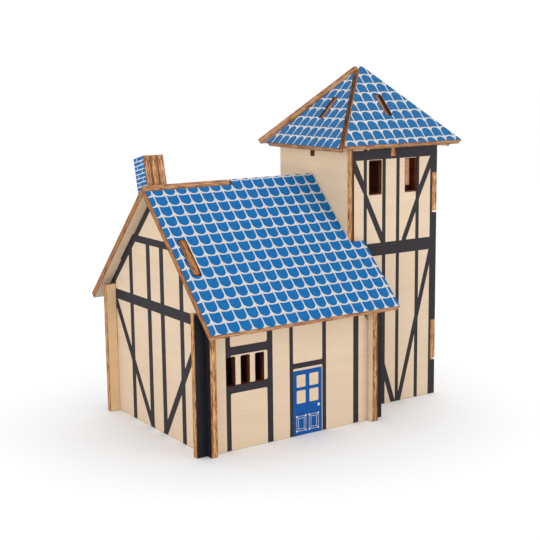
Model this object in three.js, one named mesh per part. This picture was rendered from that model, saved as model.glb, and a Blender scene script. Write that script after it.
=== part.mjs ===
// A miniature half-timbered house with a square tower, cut from one thickness of plywood and
// slotted together. Every piece is a flat outline pushed through the sheet and stood in place.
// House frame while building: x runs along the ridge from the left gable's outer face, y runs
// back from the front wall's outer face, z is up from the ground.
import * as THREE from "three";

// ---------------------------------------------------------------- the sheet and its fits (mm)
const sheet = 3; // plywood thickness, the same for every piece
const fit = 0.1; // clearance on each side of a tongue in its slot
const underRoof = 0.2; // clearance between a sloping panel and what carries it
const underside = -sheet - underRoof; // edges under a roof panel, measured from its top face
const slotCorner = 0.5; // corner radius of the long roof slots
const windowCorner = 0.3;
const tightCorner = 0.1; // corner radius where a square tongue fills its slot

// ---------------------------------------------------------------- the house
const houseWidth = 88; // outer face of one gable to outer face of the other
const houseDepth = 84; // outer face of the front wall to outer face of the back wall
const wallHeight = 61; // front and back walls
const wallRunPast = 5; // how far the front and back walls pass the gables
const gableRunPast = 3.5; // how far the gables pass the front and back walls
const lapHeight = wallHeight / 2; // each corner joint is cut half from below, half from above
const mouth = { drop: 14.5, flare: 2.6, slopeHeight: 3.6 }; // the upper slots flare open inwards
const windowSlots = { left: [10, 17.2, 24.4], width: 4, bottom: 28.3, top: 40.4 };

// ---------------------------------------------------------------- the main roof
const half = Math.SQRT1_2; // both slopes are at 45 degrees
const ridgeHeight = 110;
const ridgeY = houseDepth / 2;
const eaveRun = 13.45; // the eave stands this far beyond the wall
const slopeLength = (ridgeY + eaveRun) / half;
const leftOverhang = 4.8;
const rightOverhang = 4.4;
const ridgeStep = 38.6; // where the two panels swap at the ridge
const ridgeStepGap = 0.5; // play at that swap, each side
const gableTongue = { start: 30.9, end: 48.5, proud: 0.3 }; // measured down the slope
const gableSlot = { start: 30.4, end: 49, side: 0.3 };

// ---------------------------------------------------------------- the tower
const towerSide = 54; // left face to right face, and the left wall's front edge to its back edge
const towerLeft = houseWidth - sheet; // the right gable is also the tower's left wall
const towerRight = towerLeft + towerSide;
const columnFront = (houseDepth - towerSide) / 2; // front edge of the tall part of that gable
const towerSetBack = 0.5; // the tower's front and back walls sit this far inside its edges
const towerFront = columnFront + towerSetBack;
const towerBack = houseDepth - towerFront;
const towerCentre = [towerLeft + towerSide / 2, ridgeY];
const towerWallTop = 125;
const notchBottom = 118; // open notches in the middle of each tower wall's top edge
const towerWindows = { fromCentre: 10.7, width: 6.9, bottom: 101, top: 116.4 };
const fingers = [[17.9, 37.1], [90.6, 108.9]]; // joints between the right wall and its neighbours
const fingerPlay = 0.9; // each finger's notch is longer than the finger by this much, below it
const hiddenTongues = [[20, 38], [52, 70]]; // tower wall tongues through the right gable, inside

// ---------------------------------------------------------------- the tower roof
const towerEaveHeight = 124.4; // top edge of the eaves
const towerEave = 34.8; // from the tower's centre line to the eave
const towerPitch = (46.9 * Math.PI) / 180;
const run = Math.cos(towerPitch); // level distance covered by one millimetre of slope
const rise = Math.sin(towerPitch); // height gained over the same millimetre
const tipAway = sheet * rise + fit; // panels meet at their inner corners, so tips stand apart
const towerSlope = (towerEave - tipAway) / run;
const towerTip = towerEaveHeight + towerSlope * rise;
const tipWidth = 1.5; // blunt tips of the front and back panels
const sideTop = 3.3; // the side panels start this far below the tips, down the slope
const sideReach = 29.3; // reach this far from their middle at the eave
const sideSunk = 1.7; // and lie this far inside the planes of the front and back ones
const roofTongue = { start: 18.35, end: 30.55, sunk: 0.5 };
const roofSlot = { start: 18.15, end: 30.75 };
const frameBase = 120; // underside of the two crossed frames between their legs
const frameLeg = { bottom: 106, width: 6, gap: 0.3 }; // gap to the wall outside each leg
const frameLap = 138; // the two frames are halved together at this height
const frameTop = 4; // their tips are cut off level where they are this wide to each side

// ---------------------------------------------------------------- chimney and window post
const chimney = {
  left: 0, // its first layer stands over the left gable
  pitch: 3.4, // one layer to the next
  depth: 9.5,
  lean: (13 * Math.PI) / 180, // it leans towards the back
  frontAtRidge: 47, // y of its front edge level with the ridge
  rise: 12.5, // front edge, from the ridge level to the top
};
const chimneyTongue = { start: 7.5, end: 13.5, below: 1 };
const post = { left: 121.3, deep: 7, bottom: 103.6, top: 122 };

// ---------------------------------------------------------------- materials
const bareWood = material(0xe2cba9, 0.75);
const darkWood = material(0xa9744a, 0.8);
const tileBlue = material(0x2a73b8, 0.6);
const brickBlue = material(0x2c6fae, 0.6);

function material(color, roughness) {
  return new THREE.MeshStandardMaterial({ color, roughness, metalness: 0 });
}

// ---------------------------------------------------------------- cutting and placing pieces
const house = new THREE.Group();
house.name = "miniature_house";

// Cuts one outline with its holes from the sheet and stands it in place.
function cut(name, look, place, outline, holes = []) {
  const shape = new THREE.Shape(outline.map(([u, v]) => new THREE.Vector2(u, v)));
  for (const hole of holes) {
    shape.holes.push(new THREE.Path(hole.map(([u, v]) => new THREE.Vector2(u, v))));
  }
  const geometry = new THREE.ExtrudeGeometry(shape, { depth: sheet, bevelEnabled: false });
  geometry.applyMatrix4(place);
  const mesh = new THREE.Mesh(geometry, look);
  mesh.name = name;
  house.add(mesh);
}

// A sheet drawn with `across` and `up` as its two directions, starting from `origin`.
function drawnOn(origin, across, up) {
  const u = new THREE.Vector3(...across);
  const v = new THREE.Vector3(...up);
  const through = new THREE.Vector3().crossVectors(u, v);
  return new THREE.Matrix4().makeBasis(u, v, through).setPosition(...origin);
}

// Walls facing front or back are drawn in x and z, walls facing left or right in y and z.
const wallAlongX = (frontFace) => drawnOn([0, frontFace + sheet, 0], [1, 0, 0], [0, 0, 1]);
const wallAlongY = (leftFace) => drawnOn([leftFace, 0, 0], [0, 1, 0], [0, 0, 1]);

const rectangle = (left, right, bottom, top) => [
  [left, bottom],
  [right, bottom],
  [right, top],
  [left, top],
];

// A slot with its corners rounded by the width of the cutting beam.
function slot(left, right, bottom, top, radius) {
  const corners = [
    [right - radius, bottom + radius, -90],
    [right - radius, top - radius, 0],
    [left + radius, top - radius, 90],
    [left + radius, bottom + radius, 180],
  ];
  const points = [];
  for (const [u, v, start] of corners) {
    for (const turn of [0, 45, 90]) {
      const angle = THREE.MathUtils.degToRad(start + turn);
      points.push([u + radius * Math.cos(angle), v + radius * Math.sin(angle)]);
    }
  }
  return points;
}

// Adds the mirror image of an outline's points, in reverse, about u = centre.
function withMirror(points, centre) {
  const offCentre = points.filter(([u]) => Math.abs(u - centre) > 1e-6);
  const mirrored = offCentre.map(([u, v]) => [2 * centre - u, v]).reverse();
  return [...points, ...mirrored];
}

// ---------------------------------------------------------------- front and back walls
function houseWall(name, frontFace, holes) {
  const middle = houseWidth / 2;
  const inner = sheet + fit;
  const leftHalf = [
    [-wallRunPast, 0],
    [-wallRunPast, wallHeight],
    [-fit, wallHeight],
    [-fit, lapHeight - fit / 2],
    [inner, lapHeight - fit / 2],
    [inner, wallHeight - mouth.drop],
    [inner + mouth.flare, wallHeight - mouth.drop + mouth.slopeHeight],
    [inner + mouth.flare, wallHeight],
  ];
  cut(name, bareWood, wallAlongX(frontFace), withMirror(leftHalf, middle), holes);
}

function houseWalls() {
  const windows = windowSlots.left.map((left) =>
    slot(left, left + windowSlots.width, windowSlots.bottom, windowSlots.top, windowCorner),
  );
  houseWall("house_front_wall", 0, windows);
  houseWall("house_back_wall", houseDepth - sheet, []);
}

// ---------------------------------------------------------------- gables
// A point on the house's front slope: down the slope from the ridge, and out from its top face.
function onSlope(down, out) {
  return [ridgeY - (down + out) * half, ridgeHeight + (out - down) * half];
}

// The foot of a gable from its middle to its front edge, with the slot for the front wall.
function gableFoot() {
  const lap = lapHeight + fit / 2;
  return [
    [sheet + fit, 0],
    [sheet + fit, lap],
    [-fit, lap],
    [-fit, 0],
    [-gableRunPast, 0],
  ];
}

const downSlopeAt = (y) => (ridgeY - y) / half - underside;

function leftGable() {
  const frontHalf = [
    ...gableFoot(),
    onSlope(downSlopeAt(-gableRunPast), underside),
    onSlope(gableTongue.end, underside),
    onSlope(gableTongue.end, gableTongue.proud),
    onSlope(gableTongue.start, gableTongue.proud),
    onSlope(gableTongue.start, underside),
    onSlope(downSlopeAt(ridgeY), underside),
  ];
  cut("left_gable_wall", bareWood, wallAlongY(0), withMirror(frontHalf, ridgeY));
}

// The right gable rises through the roof as the left wall of the tower.
function rightGable() {
  const frontHalf = [
    ...gableFoot(),
    onSlope(downSlopeAt(-gableRunPast), underside),
    onSlope(downSlopeAt(columnFront), underside),
    [columnFront, towerWallTop],
    [ridgeY - sheet / 2 - fit, towerWallTop],
    [ridgeY - sheet / 2 - fit, notchBottom],
  ];
  const holes = [];
  for (const [bottom, top] of hiddenTongues) {
    for (const face of [towerFront, towerBack - sheet]) {
      holes.push(slot(face - fit, face + sheet + fit, bottom - fit, top + fit, tightCorner));
    }
  }
  const place = wallAlongY(towerLeft);
  cut("right_gable_tower_wall", bareWood, place, withMirror(frontHalf, ridgeY), holes);
}

// ---------------------------------------------------------------- main roof
const slopeDown = [0, -half, -half];
const backSlopeDown = [0, half, -half];

// The front panel is drawn across in x and down the slope, and pushed inwards from its top face.
const frontSlope = drawnOn([0, ridgeY, ridgeHeight], [1, 0, 0], slopeDown);
// The back panel is pushed outwards, so its drawing starts one sheet below its top face.
const backSlope = drawnOn(
  [0, ridgeY - sheet * half, ridgeHeight - sheet * half],
  [1, 0, 0],
  backSlopeDown,
);

// The lower part passes in front of the tower, the upper part stops at the tower's left face.
function roofOutline(leftTop, rightTop, leftEnd, rightStart) {
  const towerNotch = (ridgeY - columnFront) / half + sheet + 2 * fit;
  return [
    [-leftOverhang, leftTop],
    [leftEnd, leftTop],
    [rightStart, rightTop],
    [towerLeft - fit, rightTop],
    [towerLeft - fit, towerNotch],
    [houseWidth + rightOverhang, towerNotch],
    [houseWidth + rightOverhang, slopeLength],
    [-leftOverhang, slopeLength],
  ];
}

function mainRoof() {
  const lowTop = sheet + underRoof;
  const beforeStep = ridgeStep - ridgeStepGap;
  const afterStep = ridgeStep + ridgeStepGap;
  const tongueSlot = slot(
    -gableSlot.side,
    sheet + gableSlot.side,
    gableSlot.start,
    gableSlot.end,
    slotCorner,
  );
  const stem = slot(
    chimney.left + chimney.pitch - fit,
    chimney.left + chimney.pitch + sheet + fit,
    chimneyTongue.start - fit,
    chimneyTongue.end + fit,
    tightCorner,
  );
  const front = roofOutline(lowTop, 0, afterStep, afterStep);
  const back = roofOutline(0, lowTop, beforeStep, beforeStep);
  cut("front_roof_panel", tileBlue, frontSlope, front, [tongueSlot]);
  cut("back_roof_panel", tileBlue, backSlope, back, [tongueSlot, stem]);
}

// ---------------------------------------------------------------- chimney
// Three layers side by side, standing on the back slope and leaning towards the back.
function chimneyLayers() {
  const up = [Math.sin(chimney.lean), Math.cos(chimney.lean)];
  const back = [Math.cos(chimney.lean), -Math.sin(chimney.lean)];
  const point = (rise, behind) => [
    chimney.frontAtRidge + rise * up[0] + behind * back[0],
    ridgeHeight + rise * up[1] + behind * back[1],
  ];
  const onBackSlope = (down, out) => [
    ridgeY + (down + out) * half,
    ridgeHeight + (out - down) * half,
  ];
  // Where the leaning edge `behind` the front one meets the roof, measured down the slope.
  const footDown = (behind) => {
    const [y, z] = point(0, behind);
    const drop = (y - ridgeY + z - ridgeHeight - 2 * half * underRoof) / (up[0] + up[1]);
    const [footY] = point(-drop, behind);
    return (footY - ridgeY) / half - underRoof;
  };
  const body = [
    point(chimney.rise, chimney.depth),
    point(chimney.rise, 0),
    onBackSlope(footDown(0), underRoof),
  ];
  const heel = onBackSlope(footDown(chimney.depth), underRoof);
  const tongue = [
    onBackSlope(chimneyTongue.start, underRoof),
    onBackSlope(chimneyTongue.start, -sheet - chimneyTongue.below),
    onBackSlope(chimneyTongue.end, -sheet - chimneyTongue.below),
    onBackSlope(chimneyTongue.end, underRoof),
  ];
  const layers = [
    ["chimney_left_layer", brickBlue, [...body, heel]],
    ["chimney_middle_layer", darkWood, [...body, ...tongue, heel]],
    ["chimney_right_layer", darkWood, [...body, heel]],
  ];
  layers.forEach(([name, look, outline], i) => {
    cut(name, look, wallAlongY(chimney.left + i * chimney.pitch), outline);
  });
}

// ---------------------------------------------------------------- tower walls
// Front and back tower walls: tongues into the right gable, notches for the right wall's fingers.
function towerFrontOrBack(name, face, holes) {
  const left = houseWidth + fit;
  const inner = towerRight - sheet - fit;
  const centre = towerCentre[0];
  const leftEdge = [];
  for (const [bottom, top] of hiddenTongues) {
    leftEdge.push([left, bottom], [towerLeft, bottom], [towerLeft, top], [left, top]);
  }
  const rightEdge = [];
  for (const [bottom, top] of [...fingers].reverse()) {
    rightEdge.push([towerRight, top + fit], [inner, top + fit]);
    rightEdge.push([inner, bottom - fingerPlay], [towerRight, bottom - fingerPlay]);
  }
  const outline = [
    [left, 0],
    ...leftEdge,
    [left, towerWallTop],
    [centre - sheet / 2 - fit, towerWallTop],
    [centre - sheet / 2 - fit, notchBottom],
    [centre + sheet / 2 + fit, notchBottom],
    [centre + sheet / 2 + fit, towerWallTop],
    [towerRight, towerWallTop],
    ...rightEdge,
    [towerRight, 0],
  ];
  cut(name, bareWood, wallAlongX(face), outline, holes);
}

function towerRightWall() {
  const edge = towerFront + sheet + fit;
  const fingerPoints = fingers.flatMap(([bottom, top]) => [
    [edge, bottom],
    [towerFront, bottom],
    [towerFront, top],
    [edge, top],
  ]);
  const frontHalf = [
    [edge, 0],
    ...fingerPoints,
    [edge, towerWallTop],
    [ridgeY - sheet / 2 - fit, towerWallTop],
    [ridgeY - sheet / 2 - fit, notchBottom],
  ];
  const place = wallAlongY(towerRight - sheet);
  cut("tower_right_wall", bareWood, place, withMirror(frontHalf, ridgeY));
}

function towerWalls() {
  const windows = [-1, 1].map((side) => {
    const middle = towerCentre[0] + side * towerWindows.fromCentre;
    const reach = towerWindows.width / 2;
    const { bottom, top } = towerWindows;
    return slot(middle - reach, middle + reach, bottom, top, windowCorner);
  });
  towerFrontOrBack("tower_front_wall", towerFront, windows);
  towerFrontOrBack("tower_back_wall", towerBack - sheet, []);
  towerRightWall();
}

// A narrow upright strip behind the tower's front wall, beside its right window.
function windowPost() {
  const behindWall = towerFront + sheet + fit;
  const outline = rectangle(behindWall, behindWall + post.deep, post.bottom, post.top);
  cut("tower_window_post", bareWood, wallAlongY(post.left), outline);
}

// ---------------------------------------------------------------- tower roof
// Each face is drawn level across its middle and down the slope, then turned about the centre.
function towerSlopeTurned(quarterTurns, sunk) {
  const origin = [0, sunk * rise - tipAway, towerTip - sunk * run];
  const face = drawnOn(origin, [1, 0, 0], [0, -run, -rise]);
  const turn = new THREE.Matrix4().makeRotationZ((quarterTurns * Math.PI) / 2);
  const move = new THREE.Matrix4().makeTranslation(...towerCentre, 0);
  return move.multiply(turn).multiply(face);
}

// A triangular panel with a blunt tip, widening from `top` down the slope to the eave.
function towerPanel(name, quarterTurns, top, eaveReach, sunk) {
  const outline = [
    [-tipWidth / 2, top],
    [tipWidth / 2, top],
    [eaveReach, towerSlope],
    [-eaveReach, towerSlope],
  ];
  const across = sheet / 2 + fit;
  const tongueSlot = slot(-across, across, roofSlot.start, roofSlot.end, slotCorner);
  cut(name, tileBlue, towerSlopeTurned(quarterTurns, sunk), outline, [tongueSlot]);
}

// One of the two crossed frames: a triangle under the roof with a tongue through each slope,
// ends that drop into the wall notches, and a leg inside each wall. It is halved from the top
// where it carries the side panels, and from below where it carries the front and back ones.
function towerFrame(name, place, middle, wallOuter, underSides) {
  const sunk = underSides ? sideSunk : 0;
  const onFace = (down, out) => [
    middle - tipAway - down * run - (out - sunk) * rise,
    towerTip - down * rise + (out - sunk) * run,
  ];
  // The point under the panel at a level distance from the tower's centre line.
  const underFace = (away) => {
    const down = (away - tipAway - (underside - sunk) * rise) / run;
    return onFace(down, underside);
  };
  const seat = notchBottom + fit;
  const legOuter = wallOuter - sheet - frameLeg.gap;
  const legInner = legOuter - frameLeg.width;
  const side = sheet / 2 + fit;
  const start = [[middle - side, frameLap + fit], [middle - side, frameBase]];
  const topCut = underFace(frameTop);
  const finish = [topCut, [middle - side, topCut[1]], [middle - side, frameLap]];
  const halfOutline = [
    ...(underSides ? [] : start),
    [middle - legInner, frameBase],
    [middle - legInner, frameLeg.bottom],
    [middle - legOuter, frameLeg.bottom],
    [middle - legOuter, seat],
    [middle - wallOuter, seat],
    underFace(wallOuter),
    onFace(roofTongue.end, underside),
    onFace(roofTongue.end, -roofTongue.sunk),
    onFace(roofTongue.start, -roofTongue.sunk),
    onFace(roofTongue.start, underside),
    ...(underSides ? finish : [topCut]),
  ];
  cut(name, darkWood, place, withMirror(halfOutline, middle));
}

function towerRoof() {
  towerPanel("tower_roof_front_panel", 0, 0, towerEave, 0);
  towerPanel("tower_roof_right_panel", 1, sideTop, sideReach, sideSunk);
  towerPanel("tower_roof_back_panel", 2, 0, towerEave, 0);
  towerPanel("tower_roof_left_panel", 3, sideTop, sideReach, sideSunk);
  const [centreX, centreY] = towerCentre;
  const alongX = wallAlongX(centreY - sheet / 2);
  const alongY = wallAlongY(centreX - sheet / 2);
  towerFrame("tower_roof_cross_frame", alongX, centreX, towerSide / 2, true);
  towerFrame("tower_roof_deep_frame", alongY, centreY, centreY - towerFront, false);
}

// ---------------------------------------------------------------- the whole house
houseWalls();
leftGable();
rightGable();
mainRoof();
chimneyLayers();
towerWalls();
windowPost();
towerRoof();

// The origin is on the ground under the middle of everything.
const leftMost = -wallRunPast;
const rightMost = towerCentre[0] + towerEave;
house.position.set(-(leftMost + rightMost) / 2, -ridgeY, 0);

const group = new THREE.Group();
group.add(house);

export default group;
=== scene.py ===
import math

import bmesh
import bpy
from mathutils import Matrix, Vector
from mathutils.geometry import delaunay_2d_cdt, intersect_line_line_2d


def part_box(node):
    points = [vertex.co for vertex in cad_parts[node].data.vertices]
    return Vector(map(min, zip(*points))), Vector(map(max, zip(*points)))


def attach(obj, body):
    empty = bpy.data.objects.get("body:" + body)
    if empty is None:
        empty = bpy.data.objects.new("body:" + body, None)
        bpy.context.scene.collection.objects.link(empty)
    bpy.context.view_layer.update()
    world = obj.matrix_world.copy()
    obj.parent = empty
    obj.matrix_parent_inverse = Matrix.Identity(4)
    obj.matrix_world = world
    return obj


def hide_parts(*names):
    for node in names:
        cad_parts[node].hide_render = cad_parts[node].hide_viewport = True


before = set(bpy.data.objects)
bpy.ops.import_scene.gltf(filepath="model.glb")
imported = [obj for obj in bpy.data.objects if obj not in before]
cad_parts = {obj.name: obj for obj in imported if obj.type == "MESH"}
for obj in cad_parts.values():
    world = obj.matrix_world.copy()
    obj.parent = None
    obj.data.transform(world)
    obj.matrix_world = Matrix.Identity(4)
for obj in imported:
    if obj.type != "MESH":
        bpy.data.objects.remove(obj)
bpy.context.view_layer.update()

MM = 0.001
TINY = 1e-5  # for telling two corners apart
WELD = 2e-4  # corners nearer than this become one
SAME_LEVEL = 0.01  # how far off a face's level its corners may be
SOFT_EDGE = 0.12  # how far the burnt edge is rounded over
SCORCHED = 0.22  # width of the brown line round a hole
NARROW = 12  # the widest gap that counts as a slot
NEARLY_SQUARE = 0.2  # the steepest slope of a side that still counts as level or upright
FACING = 0.6  # the least dot product of a printed face's normal with the way its plate faces
TRIANGLES_INSIDE = 1  # the kind of result asked of delaunay_2d_cdt

LEFT, RIGHT = Vector((-1, 0, 0)), Vector((1, 0, 0))
FRONT, BACK = Vector((0, -1, 0)), Vector((0, 1, 0))
UP = Vector((0, 0, 1))

# ------------------------------------------------------------------ sizes taken from the frame
plan_corner = Vector((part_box("left_gable_wall")[0].x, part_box("house_front_wall")[0].y, 0))


def in_plan(point):
    """A point of the row frame, in plan millimetres."""
    return (Vector(point) - plan_corner) / MM


def on_site(x, y, z=0):
    """A point in plan millimetres, in the row frame."""
    return plan_corner + Vector((x, y, z)) * MM


def highest_point(node):
    """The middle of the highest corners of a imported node, in the row frame."""
    corners = [v.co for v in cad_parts[node].data.vertices]
    top = max(c.z for c in corners)
    tops = [c for c in corners if top - c.z < TINY * MM]
    return sum(tops, Vector()) / len(tops)


sheet = in_plan(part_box("left_gable_wall")[1]).x
wall_run_past = -in_plan(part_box("house_front_wall")[0]).x
gable_run_past = -in_plan(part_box("left_gable_wall")[0]).y
house_width = in_plan(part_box("right_gable_tower_wall")[1]).x
house_depth = in_plan(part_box("house_back_wall")[1]).y
wall_height = in_plan(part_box("house_front_wall")[1]).z
ridge = in_plan(highest_point("front_roof_panel"))
tower_left = house_width - sheet
tower_right = in_plan(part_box("tower_right_wall")[1]).x
tower_width = tower_right - tower_left
tower_top = in_plan(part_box("tower_front_wall")[1]).z


# ------------------------------------------------------------------ looks
# How many waves the textures have to the millimetre: across, up and into the sheet.
FIBRES = (0.09, 2.6, 1)
BANDS = (0.012, 0.16, 0.2)
PATCHES = (0.05, 0.06, 0.1)
PORES = (0.55, 4.2, 1)
MOTTLE = (0.35, 0.35, 0.35)
EDGE_WAVES = (0.2, 0.2, 1.7)
EDGE_FIBRES = (0.7, 0.7, 4.0)
EDGE_BURNS = (0.12, 0.12, 0.5)

# The burnt edge.
GLUE_LINE = 0.6  # from the middle of the sheet to where two plies meet
BACK_BURN = 0.38  # how wide the char is along the plain face
CHAR_FADE = 0.28  # over how much depth the char along a face fades
DEEP_FADE = 0.7  # over how much depth the darkening away from the printed face comes in
CHAR = 0.85  # how much of the char's colour shows along a face


def paint(red, green, blue):
    """A colour from its 0 to 255 screen values."""
    linear = []
    for value in (red, green, blue):
        share = value / 255
        linear.append(share / 12.92 if share < 0.04045 else ((share + 0.055) / 1.055) ** 2.4)
    return (*linear, 1)


class Nodes:
    """Adds shader nodes to a tree."""

    def __init__(self, tree):
        self.tree = tree

    def add(self, kind, inputs=None, **settings):
        made = self.tree.nodes.new("ShaderNode" + kind)
        for name, value in settings.items():
            setattr(made, name, value)
        for socket, value in (inputs or {}).items():
            self.feed(made.inputs[socket], value)
        return made

    def feed(self, socket, value):
        if isinstance(value, bpy.types.NodeSocket):
            self.tree.links.new(value, socket)
        else:
            socket.default_value = value

    def between(self, value, low, high, at_low=0.0, at_high=1.0):
        """Maps low..high of a value onto at_low..at_high, held level outside."""
        inputs = {"Value": value, "From Min": low, "From Max": high}
        inputs.update({"To Min": at_low, "To Max": at_high})
        return self.add("MapRange", inputs, clamp=True).outputs[0]

    def blend(self, share, first, second):
        inputs = {"Fac": share, "Color1": first, "Color2": second}
        return self.add("MixRGB", inputs, blend_type="MIX").outputs[0]

    def math(self, operation, first, second=0.0):
        return self.add("Math", {0: first, 1: second}, operation=operation).outputs[0]


class Look(Nodes):
    """A material in the making. Its textures follow the plate: across, up and into the sheet."""

    def __init__(self, name):
        self.material = bpy.data.materials.new(name)
        self.material.use_nodes = True
        super().__init__(self.material.node_tree)
        self.shader = self.tree.nodes["Principled BSDF"]
        self.place = self.add("TexCoord").outputs["Object"]

    def noise(self, per_mm, detail=4.0, roughness=0.55):
        """Noise with that many waves to the millimetre across, up and into the sheet."""
        scale = [waves / MM for waves in per_mm]
        mapping = self.add("Mapping", {"Vector": self.place, "Scale": scale})
        texture = {"Vector": mapping.outputs[0], "Scale": 1}
        texture.update({"Detail": detail, "Roughness": roughness})
        return self.add("TexNoise", texture).outputs["Fac"]

    def depth(self):
        """How far into the sheet, in millimetres."""
        z = self.add("SeparateXYZ", {"Vector": self.place}).outputs["Z"]
        return self.math("MULTIPLY", z, -1 / MM)

    def bump(self, height, distance, strength):
        """Raises the surface by up to that distance, in millimetres."""
        inputs = {"Height": height, "Distance": distance * MM, "Strength": strength}
        return self.add("Bump", inputs).outputs[0]

    def done(self, colour, roughness, normal, gloss):
        self.feed(self.shader.inputs["Base Color"], colour)
        self.feed(self.shader.inputs["Roughness"], roughness)
        self.feed(self.shader.inputs["Normal"], normal)
        self.shader.inputs["Specular IOR Level"].default_value = gloss
        return self.material


def veneer_look(name, light, dark, pore):
    """The face of the sheet: pale, with fine fibres across it and a few short pores."""
    look = Look(name)
    fibres = look.noise(FIBRES, detail=5)
    bands = look.noise(BANDS, detail=2)
    patches = look.noise(PATCHES, detail=3)
    tone = look.math("ADD", look.math("MULTIPLY", fibres, 0.5), look.math("MULTIPLY", bands, 0.5))
    colour = look.blend(look.between(tone, 0.36, 0.64), paint(*dark), paint(*light))
    darker_patches = look.between(patches, 0.45, 0.75, at_high=0.35)
    colour = look.blend(darker_patches, colour, paint(*dark))
    pores = look.between(look.noise(PORES, detail=1), 0.69, 0.76, at_high=0.5)
    colour = look.blend(pores, colour, paint(*pore))
    roughness = look.between(fibres, 0.3, 0.7, at_low=0.58, at_high=0.72)
    normal = look.bump(fibres, distance=0.02, strength=0.5)
    return look.done(colour, roughness, normal, gloss=0.25)


def ink_look(name, full, worn, roughness):
    """Ink printed on the veneer: even, a little mottled, with the fibres showing through."""
    look = Look(name)
    fibres = look.noise(FIBRES, detail=5)
    mottle = look.noise(MOTTLE, detail=6, roughness=0.7)
    worn_spots = look.between(mottle, 0.35, 0.7, at_high=0.6)
    colour = look.blend(worn_spots, paint(*full), paint(*worn))
    worn_fibres = look.between(fibres, 0.62, 0.8, at_high=0.3)
    colour = look.blend(worn_fibres, colour, paint(*worn))
    smoothest, roughest = roughness - 0.06, roughness + 0.08
    roughness = look.between(mottle, 0.3, 0.7, smoothest, roughest)
    normal = look.bump(fibres, distance=0.015, strength=0.4)
    return look.done(colour, roughness, normal, gloss=0.12)


def burnt_edge_look(name, light, dark, char, deep_darkening=0.0, darken_from=1.1, rim_dark_width=0.38):
    """The laser-cut edge: three plies, wavy grain along it, and charred where it meets the faces.

    deep_darkening is how much darker the edge is deeper than darken_from, away from the printed
    face: painted shade on the hip and hole edges.
    rim_dark_width is how wide the dark rim is along the printed face: char, widened on the corner
    edge into painted shadow."""
    look = Look(name)
    depth = look.depth()
    waves = look.noise(EDGE_WAVES, detail=3, roughness=0.6)
    fibres = look.noise(EDGE_FIBRES, detail=2)
    grain = look.math("ADD", look.math("MULTIPLY", waves, 0.8), look.math("MULTIPLY", fibres, 0.2))
    colour = look.blend(look.between(grain, 0.44, 0.55), paint(*dark), paint(*light))

    from_middle = look.math("ABSOLUTE", look.math("SUBTRACT", depth, sheet / 2))
    middle_ply = look.between(from_middle, 0.3, 0.55, at_low=0.25, at_high=0)
    colour = look.blend(middle_ply, colour, paint(*light))
    from_glue = look.math("ABSOLUTE", look.math("SUBTRACT", from_middle, GLUE_LINE))
    glue = look.between(from_glue, 0.02, 0.2, at_low=0.5, at_high=0)
    colour = look.blend(glue, colour, paint(*dark))

    burns = look.between(look.noise(EDGE_BURNS, detail=4), 0.5, 0.62, at_high=0.4)
    colour = look.blend(burns, colour, paint(*dark))
    # Darker deeper in: painted shade on the hip and hole edges.
    deep_dark = look.between(depth, darken_from, darken_from + DEEP_FADE, at_high=deep_darkening)
    colour = look.blend(deep_dark, colour, paint(*char))
    char_begins = sheet - BACK_BURN
    back_char = look.between(depth, char_begins, char_begins + CHAR_FADE, at_high=CHAR)
    colour = look.blend(back_char, colour, paint(*char))
    # The dark rim along the printed face: char, widened into painted shadow on the corner edge.
    rim_dark = look.between(depth, rim_dark_width - CHAR_FADE, rim_dark_width, at_low=CHAR, at_high=0)
    colour = look.blend(rim_dark, colour, paint(*char))

    roughness = look.between(grain, 0.3, 0.7, at_low=0.62, at_high=0.8)
    normal = look.bump(grain, distance=0.1, strength=0.7)
    return look.done(colour, roughness, normal, gloss=0.15)


def plain_look(name, colour, roughness):
    """One even colour, given in linear light."""
    look = bpy.data.materials.new(name)
    look.use_nodes = True
    shader = look.node_tree.nodes["Principled BSDF"]
    shader.inputs["Base Color"].default_value = (*colour, 1)
    shader.inputs["Roughness"].default_value = roughness
    return look


# Colours of the veneers: light, dark and pores.
BARE = veneer_look("bare_veneer", (215, 192, 166), (205, 182, 154), (169, 133, 97))
PLAIN_SIDE = veneer_look("plain_side_veneer", (222, 197, 166), (211, 186, 154), (176, 139, 102))
DARK_SIDE = veneer_look("dark_side_veneer", (229, 198, 154), (218, 185, 142), (176, 137, 94))
INSIDE = veneer_look("inside_veneer", (240, 168, 132), (220, 142, 108), (160, 96, 66))
# The post behind the tower window: streaky wood, lightened with painted light, as it stands in shade
# behind the wall.
LIT_POST = veneer_look("lit_post_wood", (228, 180, 128), (166, 108, 66), (104, 58, 34))
CREAM = veneer_look("pale_roof_veneer", (207, 203, 197), (197, 192, 185), (176, 166, 153))

# Colours of the inks: full and worn. The last number is the roughness.
BLACK = ink_look("black_timber_ink", (41, 38, 44), (60, 55, 56), 0.6)
# The black ink darkened with painted shade, for the corner timbers under the roof's overhang.
SHADED_BLACK = ink_look("shaded_black_ink", (25, 25, 31), (44, 43, 46), 0.6)
TILE = ink_look("blue_tile_ink", (3, 92, 156), (19, 117, 179), 0.6)
TOWER_TILE = ink_look("tower_tile_ink", (22, 92, 145), (41, 119, 175), 0.6)
DOOR = ink_look("blue_door_ink", (2, 70, 137), (18, 92, 157), 0.6)
# Dark brown: the scorch round the holes, and painted shadow in the gap along the tower front's left
# edge.
BURN_AND_SHADE = ink_look("burn_and_shade_veneer", (48, 25, 15), (74, 42, 26), 0.7)

# Colours of the edges: light, dark and char.
EDGE = burnt_edge_look("burnt_edge", (211, 159, 106), (120, 71, 37), (84, 47, 25))
ROOF_EDGE = burnt_edge_look("roof_edge", (183, 127, 76), (111, 65, 33), (88, 52, 32))
EAVE_EDGE = burnt_edge_look("eave_edge", (204, 154, 111), (128, 82, 49), (90, 54, 34))
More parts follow.
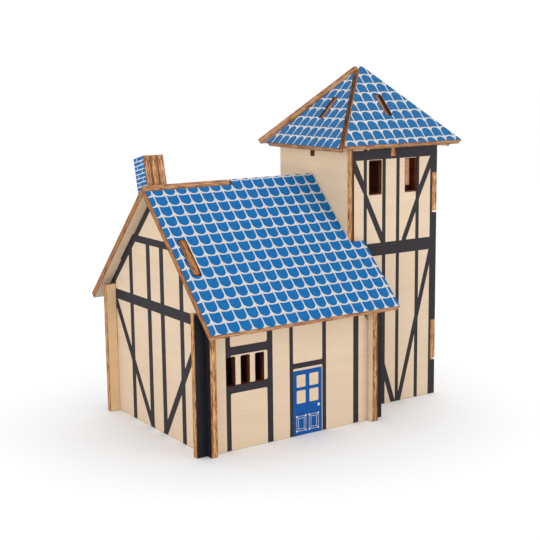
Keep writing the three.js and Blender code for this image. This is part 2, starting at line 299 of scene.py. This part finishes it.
# The hip edges: char, and painted shade deep in the edge where it meets the next panel.
BURNT_SHADED_HIP = burnt_edge_look("burnt_shaded_hip", (195, 135, 94), (142, 86, 53), (38, 22, 14), deep_darkening=0.92)
# The sides of holes, slots and notches: the burnt edge, darker all over and darker deeper in, as
# painted shade in the recess.
SHADED_HOLE_SIDE = burnt_edge_look("shaded_hole_side", (128, 61, 32), (61, 30, 17), (26, 14, 11), deep_darkening=0.6)
# The tower gable's upright edges: the burnt edge with its dark rim widened into painted shadow of
# the gap beside the tower front.
SHADOWED_CORNER = burnt_edge_look(
    "shadowed_corner", (211, 159, 106), (120, 71, 37), (70, 36, 19), rim_dark_width=0.9
)
CHIMNEY_COLOURS = (231, 172, 119), (130, 74, 42), (53, 28, 15)
CHIMNEY_LEFT = burnt_edge_look(
    "chimney_left_edge", *CHIMNEY_COLOURS, deep_darkening=0.25, darken_from=0.6
)
CHIMNEY_MIDDLE = burnt_edge_look(
    "chimney_middle_edge", *CHIMNEY_COLOURS, deep_darkening=0.35, darken_from=1.6
)
CHIMNEY_RIGHT = burnt_edge_look(
    "chimney_right_edge", *CHIMNEY_COLOURS, deep_darkening=0.2, darken_from=1.8
)

# The looks of a plate's upright, level and sloping sides.
WALL_EDGES = EDGE, EDGE, ROOF_EDGE
# The tower gable's upright sides carry the painted shadow.
TOWER_EDGES = SHADOWED_CORNER, EDGE, ROOF_EDGE
ROOF_EDGES = ROOF_EDGE, EAVE_EDGE, EAVE_EDGE


# ------------------------------------------------------------------ shapes that prints are made of
def bar(left, right, bottom, top):
    """An upright or level strip."""
    return [(left, bottom), (right, bottom), (right, top), (left, top)]


def leaning_bar(foot, head, width):
    """A brace between two heights: foot and head are the middles of its level ends."""
    half = width / 2
    return [
        (foot[0] - half, foot[1]),
        (foot[0] + half, foot[1]),
        (head[0] + half, head[1]),
        (head[0] - half, head[1]),
    ]


def arc(centre, across, up, first, last, steps):
    """Points along an ellipse from one angle to another, in degrees."""
    points = []
    for step in range(steps + 1):
        angle = math.radians(first + (last - first) * step / steps)
        points.append((centre[0] + across * math.cos(angle), centre[1] + up * math.sin(angle)))
    return points


def rounded(left, right, bottom, top, radius):
    """A bar with round corners."""
    corners = [(right, bottom, -90), (right, top, 0), (left, top, 90), (left, bottom, 180)]
    points = []
    for x, y, start in corners:
        centre_x = x - radius if x == right else x + radius
        centre_y = y - radius if y == top else y + radius
        points += arc((centre_x, centre_y), radius, radius, start, start + 90, steps=3)
    return points


def disc(centre, radius, corners=24):
    """A dot."""
    turn = 360 / corners
    return arc(centre, radius, radius, 0, 360 - turn, corners - 1)


def turned_over(outline):
    """The mirror image from left to right, still anticlockwise."""
    return [(-x, y) for x, y in reversed(outline)]


# ------------------------------------------------------------------ plates
def printed_loops(node, to_drawing):
    """The outline and holes of a packed plate's printed face, with the wood on their left."""
    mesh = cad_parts[node].data
    corners = [to_drawing @ v.co for v in mesh.vertices]
    flat = [tuple(round(c, 4) for c in corner) for corner in corners]
    after = {}
    for face in mesh.polygons:
        ring = [flat[i] for i in face.vertices]
        if all(abs(corner[2]) < SAME_LEVEL for corner in ring):
            for start, end in zip(ring, ring[1:] + ring[:1]):
                after.setdefault(start[:2], set()).add(end[:2])
    edges = {
        start: [end for end in ends if start not in after.get(end, ())]
        for start, ends in after.items()
    }
    return follow(edges)


def follow(edges):
    """Joins directed edges, start to its ends, into closed loops."""
    edges = {start: list(ends) for start, ends in edges.items() if ends}
    loops = []
    while edges:
        start = min(edges)
        loop = []
        point = start
        while point in edges:
            loop.append(point)
            following = edges[point].pop()
            if not edges[point]:
                del edges[point]
            point = following
        loops.append(loop)
    return loops


def moved_in(loop, distance):
    """Moves every side of a loop to its left, into the wood, by that distance."""
    points = [Vector(p) for p in loop]
    moved = []
    for before, point, following in zip(points[-1:] + points[:-1], points, points[1:] + points[:1]):
        arriving = (point - before).normalized()
        leaving = (following - point).normalized()
        aside = arriving.orthogonal() + leaving.orthogonal()
        moved.append(tuple(point + aside * distance / (1 + arriving.dot(leaving))))
    return moved


def area(loop):
    """Less than zero for a loop that runs clockwise."""
    return sum(a[0] * b[1] - b[0] * a[1] for a, b in zip(loop, loop[1:] + loop[:1])) / 2


def cut_face(loops, prints):
    """Triangles of a face with holes, each with the number of the print that covers it, or 0."""
    points, faces = [], []
    for loop in loops + prints:
        ring = loop if area(loop) > 0 else loop[::-1]
        faces.append(list(range(len(points), len(points) + len(ring))))
        points += [Vector(p) for p in ring]
    made = delaunay_2d_cdt(points, [], faces, TRIANGLES_INSIDE, TINY)
    corners, _, triangles, _, _, sources = made
    outer = max(range(len(loops)), key=lambda i: abs(area(loops[i])))
    holes = set(range(len(loops))) - {outer}
    kept = []
    for triangle, inside in zip(triangles, sources):
        if outer in inside and not holes & set(inside):
            kept.append((triangle, max(max(inside) - len(loops) + 1, 0)))
    return corners, kept


def edge_number(start, end, loops):
    """Which of a plate's looks a cut side has: 1 in a slot, 2 upright, 3 level, 4 sloping."""
    if in_a_slot(start, end, loops):
        return 1
    across, up = abs(end[0] - start[0]), abs(end[1] - start[1])
    if min(across, up) > NEARLY_SQUARE * max(across, up):
        return 4
    return 2 if up > across else 3


def in_a_slot(start, end, loops):
    """Whether that side of a plate looks across a narrow gap at the same plate."""
    start, end = Vector(start), Vector(end)
    along = end - start
    if along.length < TINY:
        return False
    outward = -along.orthogonal().normalized()
    middle = (start + end) / 2 + outward * SOFT_EDGE * 2
    far = middle + outward * NARROW
    for loop in loops:
        for a, b in zip(loop, loop[1:] + loop[:1]):
            if intersect_line_line_2d(middle, far, Vector(a), Vector(b)):
                return True
    return False


def rim_loops(corners, triangles):
    """The loops round a set of triangles, as corner numbers."""
    sides = {(t[i], t[(i + 1) % 3]) for t, _ in triangles for i in range(3)}
    edges = {}
    for start, end in sides:
        if (end, start) not in sides:
            edges.setdefault(start, []).append(end)
    return follow(edges)


class Plate:
    """One packed plate, seen square on from the side it faces. start is where its drawing begins."""

    def __init__(self, node, facing, start, up=UP):
        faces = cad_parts[node].data.polygons
        towards = [f for f in faces if f.normal.dot(facing) > FACING]
        normal = max(towards, key=lambda f: f.area).normal.normalized()
        across = up.cross(normal).normalized()
        axes = [across, normal.cross(across), normal]
        self.node = node
        depths = [v.co.dot(normal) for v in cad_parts[node].data.vertices]
        self.thickness = (max(depths) - min(depths)) / MM
        origin = start + normal * (max(depths) - start.dot(normal))
        self.place = Matrix.Translation(origin) @ Matrix(axes).transposed().to_4x4()
        self.to_drawing = Matrix.Scale(1 / MM, 4) @ self.place.inverted()
        self.loops = printed_loops(node, self.to_drawing)

    def build(self, body, bare, prints=(), back=BARE, edges=WALL_EDGES):
        """Makes the piece. prints is a list of (look, outline), later ones over earlier ones."""
        holes = [loop for loop in self.loops if area(loop) < 0]
        prints = list(prints) + [(BURN_AND_SHADE, moved_in(loop, SOFT_EDGE + SCORCHED)) for loop in holes]
        # Sides in holes and slots take the edge with painted shade.
        looks = [bare, SHADED_HOLE_SIDE, *edges, back]
        for look, _ in prints:
            if look not in looks:
                looks.append(look)
        shape = bmesh.new()
        rims = self.add_printed_face(shape, bare, prints, looks)
        self.add_cut_edge(shape, rims)
        self.add_back(shape, rims, looks.index(back))
        bmesh.ops.remove_doubles(shape, verts=shape.verts, dist=WELD)
        bmesh.ops.scale(shape, vec=Vector((MM, MM, MM)), verts=shape.verts)
        mesh = bpy.data.meshes.new(self.node + "_piece")
        shape.to_mesh(mesh)
        shape.free()
        for look in looks:
            mesh.materials.append(look)
        piece = bpy.data.objects.new(self.node + "_piece", mesh)
        bpy.context.scene.collection.objects.link(piece)
        piece.matrix_world = self.place
        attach(piece, body)
        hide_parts(self.node)

    def add_printed_face(self, shape, bare, prints, looks):
        """The face cut into bare wood and ink. Returns the loops round it."""
        face_loops = [moved_in(loop, SOFT_EDGE) for loop in self.loops]
        corners, triangles = cut_face(face_loops, [outline for _, outline in prints])
        for triangle, over in triangles:
            look = prints[over - 1][0] if over else bare
            self.add_face(shape, [(*corners[i], 0) for i in triangle], looks.index(look))
        return [[tuple(corners[i]) for i in loop] for loop in rim_loops(corners, triangles)]

    def add_cut_edge(self, shape, rims):
        """The edge between the two faces, rounded over where it meets them."""
        outlines = [moved_in(rim, -SOFT_EDGE) for rim in rims]
        steps = [
            (rims, 0),
            (outlines, -SOFT_EDGE),
            (outlines, SOFT_EDGE - self.thickness),
            (rims, -self.thickness),
        ]
        for (above, high), (below, low) in zip(steps, steps[1:]):
            for top, bottom in zip(above, below):
                self.add_band(shape, top, high, bottom, low, outlines)

    def add_back(self, shape, rims, look_number):
        """The face with no ink."""
        corners, triangles = cut_face(rims, [])
        for triangle, _ in triangles:
            corner = [(*corners[i], -self.thickness) for i in reversed(triangle)]
            self.add_face(shape, corner, look_number)

    @staticmethod
    def add_face(shape, corners, look_number):
        face = shape.faces.new([shape.verts.new(c) for c in corners])
        face.material_index = look_number

    def add_band(self, shape, top, high, bottom, low, outlines):
        """A band of the cut edge between two loops with matching corners."""
        for i in range(len(top)):
            j = (i + 1) % len(top)
            corners = [(*top[j], high), (*top[i], high), (*bottom[i], low), (*bottom[j], low)]
            self.add_face(shape, corners, edge_number(top[i], top[j], outlines))


# ------------------------------------------------------------------ prints: walls of the house
def house_front_print():
    """Timbers, the window bay and the door. Drawn from the left gable, up from the ground."""
    top = wall_height
    beyond = 5  # how far a bare panel goes past the foot or top of the wall
    joint = sheet - 0.2  # the ink goes on into the corner joints
    posts = [
        bar(-wall_run_past, joint, 0, top),
        bar(house_width - joint, house_width + wall_run_past, 0, top),
    ]
    timbers = [
        bar(9.6, 33.1, 0, top),  # round the window bay
        bar(41.8, 61.4, 0, top),  # round the doorway
        bar(76.5, 79.5, 0, top),  # the right stud
    ]
    bay, bay_corner = (11.9, 30.2), 0.8
    doorway, doorway_corner = (43.7, 59.3), 0.6
    panels = [
        rounded(*bay, -beyond, 24.9, bay_corner),  # below the windows
        rounded(bay[0], 30.4, 28.5, 41.3, bay_corner),  # round the windows
        rounded(*bay, 45, top + beyond, bay_corner),  # above the windows
        rounded(*doorway, 32.8, top + beyond, doorway_corner),  # above the door
        rounded(*doorway, -beyond, 30.4, doorway_corner),  # round the door
    ]
    # The corner posts take the black ink darkened with painted shade.
    prints = [(SHADED_BLACK, outline) for outline in posts]
    prints += [(BLACK, outline) for outline in timbers]
    prints += [(BARE, outline) for outline in panels]
    return prints + door_print()


def door_print():
    """A blue door with four panes, two panels below them and a knob."""
    left, right, top = 43.7, 59.0, 29.4
    pane_columns = [(45.5, 50.2), (52.3, 57.1)]
    pane_rows = [(14.5, 20.3), (21.8, 27.3)]
    pane_corner = 0.45
    panel_columns = [(45.3, 50.4), (52.0, 57.1)]
    panel_bottom, panel_top = 1.9, 8.8
    knob, knob_radius = (57.25, 12.5), 0.68
    prints = [(DOOR, bar(left, right, 0, top))]
    for low, high in pane_rows:
        prints += [(BARE, rounded(a, b, low, high, pane_corner)) for a, b in pane_columns]
    for a, b in panel_columns:
        prints += raised_panel(a, b, panel_bottom, panel_top)
    prints.append((BARE, disc(knob, knob_radius)))
    return prints


def raised_panel(left, right, bottom, top):
    """A door panel in thin light lines: two rectangles, joined at the corners, and dots there."""
    step = 0.95  # from the outer rectangle in to the inner one
    line = 0.19  # width
    dot = 0.42  # radius
    prints = []
    for inset in (0, step):
        a, b, low, high = left + inset, right - inset, bottom + inset, top - inset
        prints.append((CREAM, bar(a, b, low, high)))
        prints.append((DOOR, bar(a + line, b - line, low + line, high - line)))
    for x, to_middle in ((left, 1), (right, -1)):
        for y, to_centre in ((bottom, 1), (top, -1)):
            corner = (x + to_middle * line / 2, y + to_centre * line / 2)
            end = (corner[0] + to_middle * step, corner[1] + to_centre * step)
            prints.append((CREAM, thin_line(corner, end, line)))
            prints.append((CREAM, disc(corner, dot)))
    return prints


def thin_line(start, end, width):
    """A narrow strip between two points."""
    start, end = Vector(start), Vector(end)
    aside = (end - start).normalized().orthogonal() * width / 2
    corners = [start - aside, end - aside, end + aside, start + aside]
    return [tuple(corner) for corner in corners]


def house_back_print():
    """Timbers like the front's, with no window or door."""
    top = wall_height
    stud = 2.4  # width
    studs = (10, 28, 43, 58, 76)  # where each begins
    first, last = studs[0], studs[-1] + stud
    beam, foot = (41.5, 45), (0, 3)
    black = [
        bar(-wall_run_past, 0, 0, top),
        bar(house_width, house_width + wall_run_past, 0, top),
    ]
    black += [bar(x, x + stud, 0, top) for x in studs]
    black += [bar(first, last, *beam), bar(first, last, *foot)]
    return [(BLACK, outline) for outline in black]


def gable_timbers(has_collar):
    """Half of a gable's timbers, drawn from its middle, and the mirror image.

    The collar is the short beam high in the gable, with two studs below it."""
    edge_top = ridge.z - sheet * math.sqrt(2)  # where the gable's slopes meet
    wall = house_depth / 2  # from the middle of the gable
    beyond = 4  # how far the rafter's ink goes past the gable's slope
    rafter = 4.6  # measured upright
    outer_stud, inner_stud = (21.3, 24.7), (4.3, 7.9)
    beam, beam_end = (54.1, 58.8), wall - 2
    bracket = 4  # the block under the beam's end is that high, and begins that far in
    brace_foot, brace_head, brace_width = (5.6, 0), (wall - 2.6, 54), 4.2
    collar = (83.2, 86.4)
    outer_stud_top = edge_top - outer_stud[0] - 1
    post_top = wall_height + 10
    half = [
        bar(*outer_stud, 0, outer_stud_top),
        [
            (0, edge_top - rafter),
            (wall, edge_top - rafter - wall),
            (wall, edge_top - wall + beyond),
            (0, edge_top + beyond),
        ],
        bar(0, beam_end, *beam),
        bar(wall - bracket, beam_end, beam[0] - bracket, beam[1]),
        leaning_bar(brace_foot, brace_head, brace_width),
    ]
    if has_collar:
        half += [bar(*inner_stud, 0, collar[1])]
        half += [bar(0, edge_top - collar[1], *collar)]
    end_post = bar(wall - sheet, wall + gable_run_past, 0, post_top)
    # The end post takes the black ink darkened with painted shade.
    prints = [(BLACK, outline) for outline in half] + [(SHADED_BLACK, end_post)]
    prints += [(look, turned_over(outline)) for look, outline in prints]
    return [(look, [(x + wall, y) for x, y in outline]) for look, outline in prints]


# ------------------------------------------------------------------ prints: walls of the tower
def brace(left, right):
    """A brace between two studs. Each end is (where along, lowest, highest)."""
    return [left[:2], right[:2], (right[0], right[2]), (left[0], left[2])]


def tower_print(has_left_edge):
    """Timbers of a tower wall, drawn from its left edge, up from the ground."""
    top_band, middle_band = (116.9, 121.4), (72.2, 78.2)
    left_edge, right_edge = 3, 49.7  # where the ink along them ends and begins
    # Where the painted shadow along the left edge ends.
    gap_shadow_width = 4
    studs = [(9.5, 11.4), (20.4, 22.5), (28.8, 30.8), (40.7, 42.8)]
    above_the_band = [(9.4, 11.6), (12.8, tower_width)]
    black = [bar(*stud, 0, top_band[1]) for stud in studs]
    black += [bar(0, tower_width, *band) for band in (top_band, middle_band)]
    black += [bar(*stretch, top_band[0], tower_top) for stretch in above_the_band]
    black += [bar(right_edge, tower_width, 0, tower_top)]
    black += [
        brace((3, 113.2, 121.0), (9.6, 101.2, 107.3)),
        brace((11.3, 95.2, 101.6), (20.5, 76.3, 82.8)),
        brace((32.4, 72.4, 79.1), (40.8, 91.2, 97.6)),
        brace((42.7, 96.8, 103.3), (49.8, 111.2, 117.6)),
        leaning_bar((27.6, 0), (3.9, middle_band[0]), 2.9),
        leaning_bar((30.9, 0), (50.4, middle_band[0]), 2.6),
    ]
    prints = [(BLACK, outline) for outline in black]
    if has_left_edge:
        prints += [(BLACK, bar(0, left_edge, 0, tower_top))]
    else:
        # Painted shadow of the gap where this wall meets the gable plate's edge.
        prints += [(BURN_AND_SHADE, bar(0, gap_shadow_width, 0, top_band[0]))]
    return prints


# ------------------------------------------------------------------ prints: roofs and chimney
ROUND_BELOW, ROUND_ABOVE = 1, -1  # which way the tiles of a panel lie


def roof_tile(centre, round_end, pitch, direction):
    """One tile, from its round end to its straight one."""
    side_gap, end_gap = 0.3, 0.2  # between the middle of a joint and the ink, and between rows
    taper, shoulder = 0.1, 1.0  # the straight end is that much narrower, over that length
    curve = 2.4  # length of the round end
    hollow = 0.4  # depth of the hollow in the straight end
    wide = pitch[0] / 2 - side_gap
    narrow = wide - taper
    length = pitch[1] - end_gap
    in_hollow = length - hollow * 0.75  # halfway between its middle and its corners
    outline = [(centre - narrow, length), (centre - wide, length - shoulder)]
    outline += arc((centre, curve), wide, curve, 180, 360, steps=12)
    outline += [(centre + wide, length - shoulder), (centre + narrow, length)]
    outline += [(centre + narrow / 2, in_hollow), (centre, length - hollow)]
    outline += [(centre - narrow / 2, in_hollow)]
    return [(u, round_end + direction * v) for u, v in outline]


def tile_print(loops, first_line, first_end, pitch, direction, ink=TILE):
    """Tiles over a whole panel. first_line is a joint between columns, first_end a round end."""
    xs = [x for loop in loops for x, _ in loop]
    ys = [y for loop in loops for _, y in loop]
    first_column = math.floor((min(xs) - first_line) / pitch[0])
    last_column = math.ceil((max(xs) - first_line) / pitch[0])
    first_row = math.floor((min(ys) - first_end) / pitch[1]) - 1
    last_row = math.ceil((max(ys) - first_end) / pitch[1]) + 1
    prints = []
    for column in range(first_column, last_column):
        centre = first_line + (column + 0.5) * pitch[0]
        for row in range(first_row, last_row):
            tile = roof_tile(centre, first_end + row * pitch[1], pitch, direction)
            prints.append((ink, tile))
    return prints


def brick_print(width, height):
    """Bricks in courses, drawn from the front top corner of the chimney's side."""
    course, joint, margin, corner = 1.85, 0.45, 0.15, 0.2
    splits = 2.9, 6.9  # where the two bricks of a course meet, in turn
    prints = []
    for row in range(math.ceil(height / course) + 1):
        top = -margin - row * course
        bottom = top - course + joint
        split = splits[row % 2]
        for start, end in ((margin, split - joint / 2), (split + joint / 2, width - margin)):
            prints.append((TILE, rounded(start - width, end - width, bottom, top, corner)))
    return prints


# ------------------------------------------------------------------ the pieces
def build_walls():
    """The house's walls, the tower's other walls and the post behind its window."""
    front_timbers, back_timbers = house_front_print(), house_back_print()
    left_timbers, right_timbers = gable_timbers(has_collar=True), gable_timbers(has_collar=False)
    panels = [
        ("house_front_wall", FRONT, on_site(0, 0), front_timbers, DARK_SIDE, WALL_EDGES),
        ("house_back_wall", BACK, on_site(house_width, 0), back_timbers, DARK_SIDE, WALL_EDGES),
        ("left_gable_wall", LEFT, on_site(0, house_depth), left_timbers, DARK_SIDE, WALL_EDGES),
        ("right_gable_tower_wall", RIGHT, on_site(0, 0), right_timbers, PLAIN_SIDE, TOWER_EDGES),
    ]
    tower_walls = [
        ("tower_front_wall", FRONT, on_site(tower_left, 0)),
        ("tower_back_wall", BACK, on_site(tower_right, 0)),
        ("tower_right_wall", RIGHT, on_site(0, ridge.y - tower_width / 2)),
    ]
    for node, facing, start in tower_walls:
        timbers = tower_print(has_left_edge=node != "tower_front_wall")
        panels.append((node, facing, start, timbers, INSIDE, WALL_EDGES))
    for node, facing, start, timbers, back, edges in panels:
        Plate(node, facing, start).build("walls", BARE, timbers, back, edges)
    # The post takes the veneer lightened with painted light.
    Plate("tower_window_post", FRONT, on_site(0, 0)).build("walls", LIT_POST)


def build_main_roof():
    pitch = (5.77, 5.555)
    column_joint = 1.85  # to the left of the left gable's outer face
    lowest_ends = -78.5  # down the slope from the ridge
    slopes = [
        ("front_roof_panel", "front_roof", FRONT, -column_joint),
        ("back_roof_panel", "back_roof", BACK, column_joint),
    ]
    for node, body, facing, line in slopes:
        panel = Plate(node, facing + UP, on_site(0, ridge.y, ridge.z))
        tiles = tile_print(panel.loops, line, lowest_ends, pitch, ROUND_BELOW)
        panel.build(body, CREAM, tiles, edges=ROOF_EDGES)


def build_chimney():
    """Three layers side by side, leaning back, with bricks on the two outer faces."""
    lean = math.radians(13)
    width, height = 9.5, 16  # of the bricks on a face
    upwards = Vector((0, math.sin(lean), math.cos(lean)))
    bricks = brick_print(width, height)
    turned_bricks = [(look, turned_over(outline)) for look, outline in bricks]
    layers = [
        ("chimney_left_layer", LEFT, "blue_bricks", CREAM, bricks, CHIMNEY_LEFT),
        ("chimney_middle_layer", LEFT, "cut_edge", BARE, [], CHIMNEY_MIDDLE),
        ("chimney_right_layer", RIGHT, "cut_edge", CREAM, turned_bricks, CHIMNEY_RIGHT),
    ]
    for node, facing, slot, bare, prints, edge in layers:
        plate = Plate(node, facing, highest_point(node), upwards)
        plate.build("back_roof", bare, prints, edges=(edge, edge, edge))


def build_tower_roof():
    """Four panels, their tiles round end up, over two crossed frames."""
    # Tile pitch, where a joint between columns is, and how high the round ends are above the eave.
    upright = (5.865, 5.625), 1.4, 2.65
    sideways = (5.77, 5.775), -1.5, 5.2
    panels = [
        # The front panel's hips take the edge with painted shade.
        ("tower_roof_front_panel", FRONT, upright, BURNT_SHADED_HIP),
        ("tower_roof_right_panel", RIGHT, sideways, EAVE_EDGE),
        ("tower_roof_back_panel", BACK, upright, EAVE_EDGE),
        ("tower_roof_left_panel", LEFT, sideways, EAVE_EDGE),
    ]
    for node, facing, (pitch, line, above_eave), hip in panels:
        plate = Plate(node, facing + UP, highest_point(node))
        eave = min(y for loop in plate.loops for _, y in loop)
        first_end = eave + above_eave
        tiles = tile_print(plate.loops, line, first_end, pitch, ROUND_ABOVE, TOWER_TILE)
        edges = EAVE_EDGE, EAVE_EDGE, hip
        plate.build("tower_roof", CREAM, tiles, edges=edges)
    frames = [
        # The cross frame's ends sit in notches and take the edge with painted shade.
        ("tower_roof_cross_frame", FRONT, SHADED_HOLE_SIDE, ROOF_EDGE),
        # The deep frame's tongue takes the hip edge with painted shade.
        ("tower_roof_deep_frame", LEFT, EDGE, BURNT_SHADED_HIP),
    ]
    for node, facing, end, tongue in frames:
        plate = Plate(node, facing, highest_point(node))
        plate.build("tower_roof", BARE, edges=(end, end, tongue))


# ------------------------------------------------------------------ floor, light and camera
# The floor and the lamps are in metres, in the row frame.
def build_stage():
    """A wide pale floor."""
    half_side = 6.0
    corners = [(x * half_side, y * half_side, 0) for x, y in ((-1, -1), (1, -1), (1, 1), (-1, 1))]
    mesh = bpy.data.meshes.new("floor")
    mesh.from_pydata(corners, [], [(0, 1, 2, 3)])
    mesh.materials.append(plain_look("pale_floor", (0.96, 0.975, 1), 0.9))
    floor = bpy.data.objects.new("floor", mesh)
    bpy.context.scene.collection.objects.link(floor)


def soft_light(name, position, size, power):
    """A square lamp turned to the middle of the house."""
    target = Vector((0, 0, 0.07))
    light = bpy.data.lights.new(name, "AREA")
    light.size = size
    light.energy = power
    lamp = bpy.data.objects.new(name, light)
    lamp.location = position
    lamp.rotation_euler = (target - Vector(position)).to_track_quat("-Z", "Y").to_euler()
    bpy.context.scene.collection.objects.link(lamp)


def build_light():
    """A white room, brighter beyond the house than behind the camera, and two low lamps."""
    far_side = (0.75, 0.66, 0)  # the direction beyond the house
    behind_camera, beyond_house = 0.55, 1.5  # strengths of the upper part of the room
    horizon = 1.04  # strength of the lower part, the same all round
    lower_part, upper_part = 0.1, 0.3  # the heights where the one ends and the other begins
    world = bpy.data.worlds.new("studio")
    world.use_nodes = True
    bpy.context.scene.world = world
    nodes = Nodes(world.node_tree)
    direction = nodes.add("TexCoord").outputs["Generated"]
    aims = {0: direction, 1: far_side}
    beyond = nodes.add("VectorMath", aims, operation="DOT_PRODUCT").outputs["Value"]
    upper = nodes.between(beyond, -1, 1, behind_camera, beyond_house)
    height = nodes.add("SeparateXYZ", {"Vector": direction}).outputs["Z"]
    strength = nodes.between(height, lower_part, upper_part, horizon, upper)
    background = world.node_tree.nodes["Background"]
    nodes.feed(background.inputs["Color"], (1, 1, 1, 1))
    nodes.feed(background.inputs["Strength"], strength)
    soft_light("left_softbox", position=(-1.1, -0.45, 0.15), size=0.6, power=5.5)
    soft_light("front_softbox", position=(0.75, -1.0, 0.1), size=0.6, power=6)
    bpy.context.scene.view_settings.view_transform = "Standard"


def build_camera():
    """The camera stands in front, to the left and a little above, turned to the right."""
    position = on_site(-229.77, -393.58, 160.08)
    yaw, pitch, roll = math.radians(33.656), math.radians(-10.159), math.radians(-0.687)
    ahead = math.cos(pitch)
    forward = Vector((math.sin(yaw) * ahead, math.cos(yaw) * ahead, math.sin(pitch)))
    level = Vector((math.cos(yaw), -math.sin(yaw), 0))
    above = level.cross(forward)
    right = level * math.cos(roll) + above * math.sin(roll)
    upward = above * math.cos(roll) - level * math.sin(roll)
    data = bpy.data.cameras.new("camera")
    data.sensor_width = 36
    data.lens = 76.22
    camera = bpy.data.objects.new("camera", data)
    turned = Matrix((right, upward, -forward)).transposed().to_4x4()
    camera.matrix_world = Matrix.Translation(position) @ turned
    bpy.context.scene.collection.objects.link(camera)
    bpy.context.scene.camera = camera


build_camera()
build_light()
build_stage()
build_walls()
build_main_roof()
build_chimney()
build_tower_roof()
